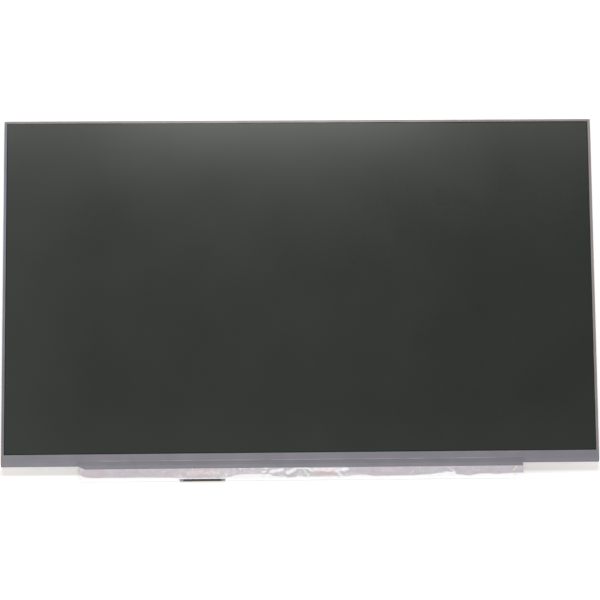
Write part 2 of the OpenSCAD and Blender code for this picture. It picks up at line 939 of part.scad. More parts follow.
module diodes() {
    color(chip_colour)
        for (x = diode_places)
            translate([x, board_top - mid, board_rear_z - diode_size.z / 2])
                cube(diode_size, center = true);
}

// One copy for each part of the rows: size is its length, width and height
module each_part(rows) {
    for (row = rows, i = [0 : row[1] - 1])
        translate([row[0] + i * row[2], board_top - row[3], board_rear_z]) {
            $size = row[4];
            children();
        }
}

module part_body() {
    l = $size.x - 2 * end_l;
    translate([-l / 2, -$size.y / 2 + end_lip, -$size.z + end_lip])
        cube([l, $size.y - 2 * end_lip, $size.z - end_lip]);
}

module part_ends() {
    for (x = [-$size.x / 2, $size.x / 2 - end_l])
        translate([x, -$size.y / 2, -$size.z])
            cube([end_l, $size.y, $size.z]);
}

module chip_capacitors() {
    color(ceramic_colour)
        each_part(capacitor_rows)
            part_body();
}

module chip_resistors() {
    color(chip_colour)
        each_part(resistor_rows)
            part_body();
}

// Tinned ends of the capacitors, resistors and diodes
module chip_terminals() {
    color(metal_colour) {
        each_part(concat(capacitor_rows, resistor_rows))
            part_ends();
        for (x = diode_places, side = [-1, 1])
            translate([
                x, board_top - mid + side * (diode_size.y + diode_end.y) / 2, board_rear_z - diode_end.z / 2
            ])
                cube(diode_end, center = true);
    }
}

// Section of the strip tape's slope from the colour-filter glass down to the driver films
module dip_section() {
    polygon([
        [filter_low, glass_front_z], [filter_low, glass_front_z + tape_t],
        [dip_y, dip_z + tape_t], [dip_y, dip_z]
    ]);
}

// At each end of the dip the tape rises again to lie flat on the frame's bar
module dip_end() {
    flat_x = foil_x + dip_blend;
    translate([flat_x, -half_h, glass_front_z])
        cube([half_w - strip_end - flat_x, filter_low + half_h, tape_t]);
    hull() {
        translate([flat_x, dip_y, glass_front_z])
            cube([slice, filter_low - dip_y, tape_t]);
        translate([foil_x, 0, 0])
            run(slice)
                dip_section();
    }
    hull() {
        translate([flat_x, -half_h, glass_front_z])
            cube([slice, dip_y + half_h, tape_t]);
        translate([foil_x, -half_h, dip_z])
            cube([slice, dip_y + half_h, tape_t]);
    }
}

// The strip tape lies flat on the glass and the bar, and dips over the driver films
module front_strip_tape() {
    tape_low = above(-strip_drop);
    color(tape_colour) {
        sheet(half_w - strip_end, filter_low, shown_low, glass_front_z, tape_t);
        for (side = [-1, 1])
            scale([side, 1, 1])
                dip_end();
        run(2 * foil_x)
            dip_section();
        translate([0, 0, dip_z])
            linear_extrude(tape_t)
                polygon([
                    [-foil_x, dip_y], [-foil_x, -half_h], [-foil_x + strip_slant, tape_low],
                    [foil_x, tape_low], [foil_x, dip_y]
                ]);
    }
}

// Section of an edge tape: round the fold, up the wall and over the rim, from the side's outer face
module tape_section(rim) {
    rect(bend_r, joggle - tape_t, tape_lap, joggle);
    intersection() {
        translate([bend_r, joggle + bend_r])
            difference() {
                circle(bend_r + tape_t);
                circle(bend_r);
            }
        rect(-tape_t, joggle - tape_t, bend_r, joggle + bend_r);
    }
    rect(-tape_t, joggle + bend_r, 0, glass_front_z + tape_t);
    rect(-tape_t, glass_front_z, rim - tape_t, glass_front_z + tape_t);
}

// A side tape gives way to the top tape at its upper end and to the strip tape at its lower end
module side_tape(lower_end) {
    l = 2 * (case_y - corner_relief);
    difference() {
        run(l)
            tape_section(side_rim);
        translate([lower_end * half_h, 0, glass_front_z])
            cube([2 * strip_h, 2 * half_w, 2 * eps], center = true);
        translate([-lower_end * half_h, 0, glass_front_z])
            cube([2 * top_rim, 2 * half_w, 2 * eps], center = true);
    }
}

module left_edge_tape() {
    color(tape_colour)
        at_left()
            side_tape(1);
}

module right_edge_tape() {
    color(tape_colour)
        at_right()
            side_tape(-1);
}

module top_edge_tape() {
    color(tape_colour) {
        at_top()
            run(2 * (case_x - tape_lap - ear_gap))
                tape_section(top_rim);
        at_top()
            run(2 * case_x)
                rect(0, glass_front_z, top_rim - tape_t, glass_front_z + tape_t);
    }
}

// Middle line of the foil: flat under the strip tape, rising a little, then round the board's edge
foil_path = concat(
    [[foil_high, foil_top_z + foil_t / 2], [above(-strip_drop), foil_top_z + foil_t / 2]],
    ease([foil_flat_low, foil_top_z + foil_t / 2], [foil_turn_y, foil_turn_z + foil_mid_r]),
    [for (i = [1 : turn_steps], a = 90 * i / turn_steps)
        [foil_turn_y - foil_mid_r * sin(a), foil_turn_z + foil_mid_r * cos(a)]]
);

module board_foil() {
    color(foil_colour)
        difference() {
            run(2 * foil_x)
                polygon(ribbon(foil_path, foil_t));
            translate([connector_left - foil_window_gap, board_low - 2 * foil_turn_r, -eps])
                cube([connector_w + 2 * foil_window_gap, 2 * foil_turn_r + foil_window_lap, 2 * foil_turn_r]);
        }
}

back_plate();
middle_frame();
reflector_sheet();
light_guide();
light_strip();
light_packages();
phosphor_windows();
strip_adhesive();
light_guide_adhesive();
lower_diffuser();
lower_prism_sheet();
upper_prism_sheet();
upper_diffuser();
rim_tape();
rear_polariser();
array_glass();
colour_filter_glass();
front_polariser();
driver_films();
driver_chips();
circuit_board();
connector_housing();
connector_shell();
connector_contacts();
timing_controller();
power_chip();
backlight_chip();
gamma_chip();
memory_chip();
inductors();
diodes();
chip_capacitors();
chip_resistors();
chip_terminals();
front_strip_tape();
left_edge_tape();
right_edge_tape();
top_edge_tape();
board_foil();
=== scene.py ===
import json
from bisect import bisect_right
from math import exp

import bmesh
import bpy
from mathutils import Matrix, Vector, noise


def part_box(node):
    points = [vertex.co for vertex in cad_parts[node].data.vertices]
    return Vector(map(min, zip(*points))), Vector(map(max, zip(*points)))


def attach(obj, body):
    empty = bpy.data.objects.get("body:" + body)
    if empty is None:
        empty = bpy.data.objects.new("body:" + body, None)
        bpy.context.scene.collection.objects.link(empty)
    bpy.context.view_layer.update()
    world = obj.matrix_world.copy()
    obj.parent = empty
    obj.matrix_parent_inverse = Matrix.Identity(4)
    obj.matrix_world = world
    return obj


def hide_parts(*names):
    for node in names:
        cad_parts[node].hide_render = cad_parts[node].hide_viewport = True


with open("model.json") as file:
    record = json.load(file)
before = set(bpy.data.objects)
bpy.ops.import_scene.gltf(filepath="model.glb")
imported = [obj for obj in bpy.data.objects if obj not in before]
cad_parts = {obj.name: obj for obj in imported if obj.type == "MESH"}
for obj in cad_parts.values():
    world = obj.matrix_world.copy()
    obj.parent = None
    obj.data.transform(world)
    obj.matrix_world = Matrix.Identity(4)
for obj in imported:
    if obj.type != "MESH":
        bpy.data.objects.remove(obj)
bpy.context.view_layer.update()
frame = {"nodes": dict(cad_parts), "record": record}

MM = 0.001

# Camera: it looks down on the panel from a little below the picture's middle
CAMERA_PLACE = (-13.4, -65.1, 736.9)
CAMERA_FORWARD = (0.0182, 0.0807, -0.9966)
CAMERA_UP = (0.0072, 0.9967, 0.0808)
CAMERA_LENS = 74.7

# Table, which is seen with a lift to white
FLOOR_REACH = 9000  # half its width
FLOOR_GAP = 0.05  # below the panel
FLOOR_WHITE = (0.80, 0.795, 0.785, 1)
FLOOR_LIFT = 0.33  # lift round the panel
FRONT_LIFT = 0.64  # painted light: a higher lift in front of the panel, which hides the foil's shadow
FADE_FROM = 350  # distance from the panel's middle where the lift starts to grow
FADE_TO = 1100  # distance where it is full

# Shade on the table along the body's lower edge: cast by the lamps, and painted deeper, tinted and evened out
# by the table's lift
SHADE_START = -2  # distance past the body's edge, here hidden under the body
SHADE_DEPTH = 6.70  # distance of its painted lower boundary past the body's edge, beyond which the front lift paints light
SHADE_TILT = 0.0038  # slant of that boundary
SHADE_BLUR = 0.9  # half width of that boundary
# Tint of the painted shade
PAINTED_SHADE_COLOUR = (0.95, 0.89, 0.86, 1)
EDGE_GLOW = 0.34  # painted light that evens the shade out at the body's edge
GLOW_FROM = 0.3  # distance from the body's edge up to which the glow is full
GLOW_TO = 2.3  # distance where it is gone
GLOW_LOSS = 0.24  # share of that painted light that is lost left of the board
LEFT_DIMMING = 0.07  # painted shade: lift that is lost left of the board
RIGHT_DIMMING = 0.13  # painted shade: lift that is lost right of the board
BOARD_SIDE = 131  # X up to which these losses are full
BODY_CORNER = 172  # X where they are down to the corner's share
CORNER_SHARE = 0.15
MIDDLE = 10  # X, both ways, within which the left losses change to the right ones

# Surroundings: what the panel mirrors, and the fill light
FILL_STRENGTH = 0.30
OVERHEAD_STRENGTH = 0.50
OVERHEAD_COLOUR = (1.0, 0.93, 1.0, 1)
OVERHEAD_Z = (0.80, 0.88)  # upward part of a direction, where overhead sets in
OVERHEAD_Y = (-0.26, -0.08)  # rearward part, where overhead sets in
HORIZON_STRENGTH = 0.55  # low down behind the panel
HORIZON_Z = (0.30, 0.70)  # upward part, where that ends
HORIZON_Y = (-0.65, -0.40)  # rearward part, where that sets in

# Each lamp: place, point that it faces, width, height, power in watts
LAMPS = {
    "soft_lamp": ((-20, 790, 1500), (0, 0, 0), 600, 700, 5.0),
    "broad_lamp": ((-35, 800, 1510), (0, 0, 0), 2000, 700, 8.6),
    "low_lamp": ((0, 3200, 1600), (0, 0, 0), 2200, 400, 95.0)
}

# Painted sheen and shade of the screen, which stand for how its reflection varies: X or Y between which they
# change
PAINTED_SHEEN_LEFT = (-170, -120)  # painted sheen, which fades away from the left edge
PAINTED_SHEEN_BOTTOM = (-98, -66)  # painted sheen, which fades away from the lower edge
PAINTED_SHADE_RIGHT = (-30, 110)  # painted shade, which deepens towards the right
PAINTED_SHADE_RIGHT_TOP = (30, 90)  # that painted shade ends towards the top

# Strip tape and its crease, which lies where the tape leaves the colour filter; the crease and the tape below
# it carry painted light
BODY_EDGE = -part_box("top_edge_tape")[1].y / MM  # Y of the body's lower edge; the body's middle is at 0
CREASE_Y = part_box("colour_filter_glass")[0].y / MM
CREASE_STARTS = (-130, -120)  # X
CREASE_ENDS = (106, 124)  # X
CREASE_CORE = 0.08  # half width of the painted highlight's bright core
CREASE_REACH = 0.36  # half width of the whole crease
CREASE_PAINTED_LIGHT = (0.40, 0.39, 0.43, 1)
PAINTED_LIGHT_RUN = 1.2  # width below the crease over which painted light makes the tape paler, where it slopes away from the lamps
TAPE_SPAN = (-170, 170)  # X between which painted shade darkens the tape towards the right
TAPE_PAINTED_SHADE = 0.13
EDGE_LINE = (0.1, 0.45)  # heights over the lower edge where its dark line is full and gone

# Foil: its solid, and the places of its middle surface
FOIL_LOW, FOIL_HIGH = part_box("board_foil")
FOIL_END = FOIL_HIGH.x / MM  # X of its right end
FOIL_T = 0.06  # thickness
FOIL_FLAT_Z = 2.03  # flat on the board
FOIL_LOW_Z = FOIL_FLAT_Z + 0.01  # lowest beyond the crest
FOIL_TOP_Z = 2.55  # highest
FOIL_TAPE_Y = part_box("front_strip_tape")[0].y / MM - 0.03  # where it comes out from under the tape
FOIL_EDGE_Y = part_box("circuit_board")[0].y / MM - 0.12  # where it turns round the board
NOTCH_GAP = 0.6  # between foil and connector

# Slopes of the foil, which make it mirror grey or white surroundings
FOIL_RISE = 0.08  # up from the tape
SLACK_STEEPER = 0.25  # how much more where the foil is slack
FOLD_FALL = 0.19  # down in a fold
CREST_FALL = 0.15  # down beyond the crest

# Turn of the foil round the board's lower edge
TURN_HASTE = 1.6  # how soon it reaches its lowest Y
TURN_POWER = 1.2  # power by which it falls

# Mesh of the foil
FOIL_STEP = 0.4  # width of a column
FLAT_ROWS = 24  # from the tape to the crest
SLOPE_ROWS = 6  # from the crest to the board's edge
TURN_ROWS = 7  # round the board's edge
WAVE_ROWS = 8  # over which the waves set in
NOTCH_ROWS = 2  # left out before the board's edge at the connector
EDGE_RUN = 0.01  # width of the sharp bend beside the tape
BULGE_REACH = 5  # columns, both ways, that a bulge spreads over

# Unevenness of the foil
BROAD_WAVES = 0.06  # heights of its waves
NARROW_WAVES = 0.03
CREST_RIPPLE = 0.16  # how far the crest wanders
SAG = 0.04  # height of the waves beyond the crest
EDGE_WAVES = 0.03  # how far the lowest edge wanders
FLAT_SHARE = 0.25  # share of the waves that is left where the foil is drawn flat
FOLD_STRAY_X = 0.6  # how far the folds stray along X
FOLD_STRAY_DEPTH = 0.35  # how far they stray in depth
FOLD_VARIES = 0.25  # how much their strength varies
SLACK_LEFT = -25  # X where the slack middle starts
SLACKENS_OVER = 6  # width over which it grows slack
SLACK_RIGHT = 38  # X where the slack middle ends
TIGHTENS_OVER = 10  # width over which it grows tight again

# The foil's crest, where it turns down to the table: X, and depth below the body's lower edge
CREST = [
    (-130.4, 4.1), (-127.3, 5.9), (-123.7, 6.7), (-108, 6.7), (-94.4, 6.65), (-76.5, 6.9), (-71.2, 7.35),
    (-45, 7.25), (-42, 6.8), (-38, 5.5), (-32, 5.0), (-25, 5.0), (-18.5, 5.3), (-16.2, 6.4), (-9, 6.9),
    (-5, 7.35), (-2.4, 6.8), (3.4, 7.0), (22.2, 6.7), (27.2, 6.9), (30.7, 6.4), (35.1, 6.05), (42.9, 7.0),
    (63.5, 6.95), (74.2, 6.3), (82.3, 5.3), (85, 4.7), (89, 4.9), (91.3, 6.5), (94.8, 6.95), (98.5, 7.4),
    (101.2, 6.8), (104.8, 6.15), (110.1, 6.1), (114.7, 6.5), (124.5, 5.9), (130.4, 5.8)
]

# Folds in the foil, where it falls towards the table: X and depth of both ends, strength, half width
FOLDS = [
    (-66.0, 4.2, -49.0, 4.2, 0.66, 2.4),
    (-22.8, 4.1, -21.2, 3.9, 0.90, 1.2),
    (-18.0, 4.0, -11.4, 2.6, 1.14, 1.75),
    (-7.8, 4.7, -4.4, 2.7, 1.09, 2.05),
    (-3.4, 2.1, 4.0, 2.1, 1.15, 0.75),
    (1.5, 3.0, 4.4, 6.5, 0.93, 1.40),
    (5.0, 2.9, 20.4, 2.9, 1.12, 1.90),
    (20.1, 3.4, 23.4, 6.6, 0.93, 1.65),
    (20.8, 3.0, 27.0, 2.9, 1.14, 1.60),
    (27.0, 2.1, 36.0, 2.0, 0.60, 0.45),
    (42.7, 2.2, 45.0, 6.1, 0.70, 0.50),
    (66.1, 3.4, 64.6, 5.4, 0.75, 0.50),
    (75.0, 2.2, 75.6, 3.6, 0.60, 0.60),
    (85.8, 2.0, 90.6, 5.4, 0.74, 0.80),
    (124.3, 4.3, 126.5, 2.1, 0.85, 0.70),
    (-123.2, 4.8, -124.2, 6.4, 0.80, 0.40)
]

# Finish of the foil, with painted shade along its lowest edge
WARM_STAINS = [(-60.0, 14.0), (14.0, 10.0), (-118.0, 6.0)]  # X of the middle and half length
TINTS_FULL = 5.6  # depth below the body's lower edge down to which the tints are full
TINTS_GONE = 7.4  # depth where they are gone
SCUFFS_START = (-76, -66)  # X between which the scuffs set in
SCUFFS_HALVE = (-48, -36)  # X between which they drop to half
SCUFFS_END = (26, 38)  # X between which they end
SCUFF_ROUGHNESS = 0.05
SHADED_EDGE = 0.35  # width of the painted shade along the lowest edge, which stands for its contact shadow on the table

# Textures
WAVE_PERIOD = 0.31  # period of Blender's wave texture at scale 1
TRACE_PITCH = 0.279  # of the board's traces
DOT_PITCH = 0.8  # of the light guide's dots


def add(tree, kind, inputs=None, **settings):
    """Adds a node; an input is either a number or colour, or the output socket that feeds it."""
    made = tree.nodes.new(kind)
    for name, value in settings.items():
        setattr(made, name, value)
    for key, value in (inputs or {}).items():
        if isinstance(value, bpy.types.NodeSocket):
            tree.links.new(value, made.inputs[key])
        else:
            made.inputs[key].default_value = value
    return made


def place(tree, stretch=(1, 1, 1)):
    """Position on the object, in metres, stretched along the axes."""
    point = add(tree, "ShaderNodeTexCoord").outputs["Object"]
    if stretch == (1, 1, 1):
        return point
    return add(tree, "ShaderNodeMapping", {"Vector": point, "Scale": stretch}).outputs["Vector"]


def grain(tree, size, detail=2.0, stretch=(1, 1, 1)):
    """Noise from 0 to 1 with spots of about the given size in millimetres."""
    inputs = {"Vector": place(tree, stretch), "Scale": 1 / (size * MM), "Detail": detail}
    return add(tree, "ShaderNodeTexNoise", inputs).outputs["Fac"]


def between(tree, value, old_low, old_high, low, high):
    """Maps a value from one range to another and stops at its ends."""
    inputs = {"Value": value, "From Min": old_low, "From Max": old_high, "To Min": low, "To Max": high}
    return add(tree, "ShaderNodeMapRange", inputs).outputs["Result"]


def maths(tree, operation, a, b=0.0, c=0.0):
    """Result of one Math node."""
    return add(tree, "ShaderNodeMath", {0: a, 1: b, 2: c}, operation=operation).outputs["Value"]


def blended(tree, factor, a, b):
    """Colour a where the factor is 0 and colour b where it is 1."""
    mix = add(tree, "ShaderNodeMix", {"Factor": factor, "A": a, "B": b}, data_type="RGBA")
    return mix.outputs["Result"]


def relief(tree, height, depth, below=None):
    """Normal of a surface with a relief of the given depth in millimetres."""
    inputs = {"Height": height, "Distance": depth * MM, "Strength": 1.0}
    if below:
        inputs["Normal"] = below
    return add(tree, "ShaderNodeBump", inputs).outputs["Normal"]


def along(tree, axis):
    """Coordinate on the object along one axis, in metres."""
    return add(tree, "ShaderNodeSeparateXYZ", {"Vector": place(tree)}).outputs[axis]


def across(tree, axis, start, end, low, high):
    """Goes from low to high between two places along one axis, given in millimetres."""
    return between(tree, along(tree, axis), start * MM, end * MM, low, high)


def around(tree, axis, middle, near, far, inside, outside):
    """Goes from inside to outside between two distances from a place along one axis, in millimetres."""
    off = maths(tree, "ABSOLUTE", maths(tree, "SUBTRACT", along(tree, axis), middle * MM))
    return between(tree, off, near * MM, far * MM, inside, outside)


def bands(tree, pitch, direction, distortion, detail_scale):
    """Parallel bands from 0 to 1 with about the given pitch in millimetres."""
    inputs = {
        "Vector": place(tree),
        "Scale": WAVE_PERIOD / (pitch * MM),
        "Distortion": distortion,
        "Detail Scale": detail_scale
    }
    return add(tree, "ShaderNodeTexWave", inputs, bands_direction=direction).outputs["Fac"]


def grey(value):
    """A grey as a colour with full opacity."""
    return (value, value, value, 1.0)


def rgb(red, green, blue):
    """A colour with full opacity."""
    return (red, green, blue, 1.0)


def new_tree(name):
    """A new material and its empty node tree."""
    material = bpy.data.materials.new(name)
    material.use_nodes = True
    material.node_tree.nodes.clear()
    return material, material.node_tree


def close(tree, inputs):
    """Ends a material in a Principled shader."""
    shader = add(tree, "ShaderNodeBsdfPrincipled", inputs)
    add(tree, "ShaderNodeOutputMaterial", {"Surface": shader.outputs["BSDF"]})


def mottled(name, dark, light, patch, spot, rough, depth, metallic=0.0):
    """A surface whose tone wanders in patches, with a finer grain in its roughness and relief."""
    material, tree = new_tree(name)
    tone = between(tree, grain(tree, patch, 3), 0.3, 0.7, 0, 1)
    fine = grain(tree, spot, 3)
    inputs = {
        "Base Color": blended(tree, tone, dark, light),
        "Metallic": metallic,
        "Roughness": between(tree, fine, 0.3, 0.7, *rough),
        "Normal": relief(tree, fine, depth)
    }
    close(tree, inputs)
    return material


def matt_polariser():
    """Anti-glare film: near black, with a fine sparkle, a faint haze that drifts across it, painted sheen by
    its left and lower edges and painted shade towards its right.
    """
    material, tree = new_tree("matt_polariser")
    haze = between(tree, grain(tree, 45, 4), 0.3, 0.7, 0, 1)
    sparkle = grain(tree, 0.5, 2)
    # Painted sheen by the left and lower edges, painted shade towards the right, added to the random haze
    left = across(tree, "X", *PAINTED_SHEEN_LEFT, 0.5, 0)
    right = across(tree, "X", *PAINTED_SHADE_RIGHT, 0, -0.36)
    right = maths(tree, "MULTIPLY", right, across(tree, "Y", *PAINTED_SHADE_RIGHT_TOP, 1, 0))
    bottom = across(tree, "Y", *PAINTED_SHEEN_BOTTOM, 0.24, 0)
    level = maths(tree, "ADD", maths(tree, "ADD", left, right), bottom)
    level = maths(tree, "ADD", level, maths(tree, "MULTIPLY_ADD", haze, 0.16, 0.36))
    haze_and_sheen = blended(tree, level, rgb(0.0048, 0.0104, 0.0046), rgb(0.0260, 0.0327, 0.0260))
    lift = between(tree, sparkle, 0.3, 0.7, 0, 0.35)
    inputs = {
        "Base Color": blended(tree, lift, haze_and_sheen, rgb(0.0225, 0.0292, 0.0224)),
        "Roughness": between(tree, haze, 0, 1, 0.185, 0.205),
        "Normal": relief(tree, sparkle, 0.0008)
    }
    close(tree, inputs)
    return material


def panel_glass():
    """Polished glass over the black border mask, with a trace of smears."""
    material, tree = new_tree("panel_glass")
    smear = grain(tree, 9, 4, (1, 0.35, 1))
    inputs = {
        "Base Color": blended(tree, smear, rgb(0.004, 0.004, 0.005), rgb(0.009, 0.009, 0.011)),
        "Roughness": between(tree, smear, 0.35, 0.7, 0.04, 0.12),
        "IOR": 1.52
    }
    close(tree, inputs)
    return material


def crease_mark(tree):
    """1 along the tape's crease, where a highlight is painted, broken up where the crease is faint."""
    line = around(tree, "Y", CREASE_Y, CREASE_CORE, CREASE_REACH, 1, 0)
    left = across(tree, "X", *CREASE_STARTS, 0, 1)
    right = across(tree, "X", *CREASE_ENDS, 1, 0)
    broken = between(tree, grain(tree, 16, 3, (1, 0.1, 0.1)), 0.36, 0.62, 0.25, 1)
    mark = maths(tree, "MULTIPLY", line, broken)
    return maths(tree, "MULTIPLY", mark, maths(tree, "MULTIPLY", left, right))


def crease_tape(tree, colour, normal):
    """Adds the crease with a painted highlight, painted light that makes the tape paler below it, painted
    shade that darkens it towards the right, and the dark line of the edge on both sides of the board.
    """
    mark = crease_mark(tree)
    # Painted light: the tape is paler below the crease, where it slopes away from the lamps
    paler = across(tree, "Y", CREASE_Y - PAINTED_LIGHT_RUN, CREASE_Y, 0.12, 0)
    colour = blended(tree, paler, colour, CREASE_PAINTED_LIGHT)
    # Painted highlight along the crease
    colour = blended(tree, maths(tree, "MULTIPLY", mark, 0.9), colour, CREASE_PAINTED_LIGHT)
    # Painted shade: the tape grows darker towards the right, where less light falls
    colour = blended(tree, across(tree, "X", *TAPE_SPAN, 0, TAPE_PAINTED_SHADE), colour, grey(0.0))
    edge = across(tree, "Y", BODY_EDGE + EDGE_LINE[0], BODY_EDGE + EDGE_LINE[1], 0.4, 0)
    beside_board = around(tree, "X", 0, FOIL_END - 0.15, FOIL_END + 0.25, 0, 1)
    colour = blended(tree, maths(tree, "MULTIPLY", edge, beside_board), colour, grey(0.1))
    return colour, relief(tree, mark, 0.02, normal)


def grey_tape(name, dark, light, rough=(0.46, 0.6), shine=0.5, creased=False):
    """Matt grey polyester tape with a fine tooth and slow ripples."""
    material, tree = new_tree(name)
    tone = between(tree, grain(tree, 14, 3), 0.32, 0.68, 0, 1)
    tooth = grain(tree, 0.4, 3)
    colour = blended(tree, tone, dark, light)
    colour = blended(tree, between(tree, tooth, 0.35, 0.65, 0, 0.16), colour, grey(0.34))
    normal = relief(tree, tooth, 0.008, relief(tree, grain(tree, 22, 2, (1, 2.5, 1)), 0.12))
    if creased:
        colour, normal = crease_tape(tree, colour, normal)
    inputs = {
        "Base Color": colour,
        "Roughness": between(tree, tooth, 0.3, 0.7, *rough),
        "Specular IOR Level": shine,
        "Normal": normal
    }
    close(tree, inputs)
    return material


def foil_tints(tree):
    """Faint pink, yellow and green clouds and warm stains, which end at the crest."""
    pink = between(tree, grain(tree, 17, 2), 0.48, 0.64, 0, 0.8)
    yellow = between(tree, grain(tree, 12, 2, (1.3, 0.8, 1)), 0.54, 0.68, 0, 0.75)
    green = between(tree, grain(tree, 19, 1, (1, 0.6, 1.4)), 0.52, 0.66, 0, 0.6)
    tinted = blended(tree, pink, rgb(0.985, 0.98, 0.99), rgb(0.985, 0.935, 0.95))
    tinted = blended(tree, yellow, tinted, rgb(0.985, 0.955, 0.905))
    tinted = blended(tree, green, tinted, rgb(0.935, 0.975, 0.94))
    warm = 0.0
    for middle, half in WARM_STAINS:
        warm = maths(tree, "MAXIMUM", warm, around(tree, "X", middle, 0.3 * half, half, 1, 0))
    warm = maths(tree, "MULTIPLY", warm, between(tree, grain(tree, 5, 2), 0.35, 0.6, 0.4, 1))
    tinted = blended(tree, warm, tinted, rgb(0.985, 0.905, 0.885))
    above_crest = across(tree, "Y", BODY_EDGE - TINTS_GONE, BODY_EDGE - TINTS_FULL, 0, 1)
    return blended(tree, above_crest, grey(0.99), tinted)


def foil_edge_shade(tree):
    """How much painted shade darkens the foil: in patches along its lowest edge, where its contact shadow
    falls.
    """
    shaded_up_to = FOIL_LOW.y / MM + SHADED_EDGE
    edge = across(tree, "Y", shaded_up_to, shaded_up_to + 0.1, 1, 0)
    return maths(tree, "MULTIPLY", edge, between(tree, grain(tree, 30, 2), 0.35, 0.65, 0.5, 1))


def foil_scuffs(tree):
    """How scuffed the foil is: fully left of its middle, and half as much in its middle."""
    start = across(tree, "X", *SCUFFS_START, 0, 1)
    halve = across(tree, "X", *SCUFFS_HALVE, 1, 0.5)
    end = across(tree, "X", *SCUFFS_END, 1, 0)
    return maths(tree, "MULTIPLY", maths(tree, "MULTIPLY", start, halve), end)


def silver_foil():
    """Metallised film, almost smooth, with faint tints, scuffs and painted shade along its lower edge."""
    material, tree = new_tree("silver_foil")
    smooth = between(tree, grain(tree, 2.5, 3), 0.3, 0.7, 0.16, 0.24)
    inputs = {
        # The lowest edge is blended to a darker tone: painted shade
        "Base Color": blended(tree, foil_edge_shade(tree), foil_tints(tree), rgb(0.76, 0.73, 0.72)),
        "Metallic": 1.0,
        "Roughness": maths(tree, "MULTIPLY_ADD", foil_scuffs(tree), SCUFF_ROUGHNESS, smooth),
        "Normal": relief(tree, grain(tree, 4.5, 2), 0.03, relief(tree, grain(tree, 0.8, 2), 0.0025))
    }
    close(tree, inputs)
    return material


def printed_board():
    """Solder mask over copper: lighter lanes where the traces run, clear of them elsewhere."""
    material, tree = new_tree("board_laminate")
    lanes = bands(tree, TRACE_PITCH, "Y", 1.4, 0.4)
    routed = between(tree, grain(tree, 6, 1, (0.25, 1, 1)), 0.47, 0.53, 0, 1)
    trace = maths(tree, "MULTIPLY", between(tree, lanes, 0.45, 0.6, 0, 1), routed)
    inputs = {
        "Base Color": blended(tree, trace, rgb(0.010, 0.075, 0.040), rgb(0.022, 0.14, 0.070)),
        "Roughness": between(tree, grain(tree, 1.2, 3), 0.3, 0.7, 0.22, 0.38),
        "Normal": relief(tree, trace, 0.02),
        "Coat Weight": 0.3
    }
    close(tree, inputs)
    return material


def lined_film(name, base, line, pitch, direction, rough):
    """A film that carries fine parallel lines, such as conductors or prisms."""
    material, tree = new_tree(name)
    lines = bands(tree, pitch, direction, 0.3, 0.2)
    inputs = {
        "Base Color": blended(tree, between(tree, lines, 0.35, 0.65, 0, 1), base, line),
        "Roughness": between(tree, grain(tree, 1.5, 2), 0.3, 0.7, *rough),
        "Normal": relief(tree, lines, 0.01)
    }
    close(tree, inputs)
    return material


def light_guide_acrylic():
    """Clear acrylic with the extraction dots of its rear face."""
    material, tree = new_tree("acrylic")
    inputs = {"Vector": place(tree), "Scale": 1 / (DOT_PITCH * MM)}
    off_dot = add(tree, "ShaderNodeTexVoronoi", inputs).outputs["Distance"]
    dot = between(tree, off_dot, 0.22, 0.3, 1, 0)
    inputs = {
        "Base Color": blended(tree, dot, rgb(0.86, 0.89, 0.90), grey(0.97)),
        "Roughness": between(tree, dot, 0, 1, 0.06, 0.5),
        "Normal": relief(tree, dot, 0.01),
        "Transmission Weight": 0.6,
        "IOR": 1.49
    }
    close(tree, inputs)
    return material


def plate_metal():
    """Rolled aluminium sheet: fine grain along its length and cloudy handling marks."""
    material, tree = new_tree("plate_metal")
    roll = grain(tree, 0.5, 4, (0.03, 1, 1))
    cloud = grain(tree, 26, 4)
    inputs = {
        "Base Color": blended(tree, cloud, rgb(0.66, 0.67, 0.69), rgb(0.75, 0.76, 0.775)),
        "Metallic": 1.0,
        "Roughness": between(tree, roll, 0.3, 0.7, 0.28, 0.42),
        "Normal": relief(tree, roll, 0.006)
    }
    close(tree, inputs)
    return material


def metal(name, dark, light, spot, rough):
    """Plain metal with a fine grain."""
    return mottled(name, dark, light, 2.5, spot, rough, 0.004, metallic=1.0)


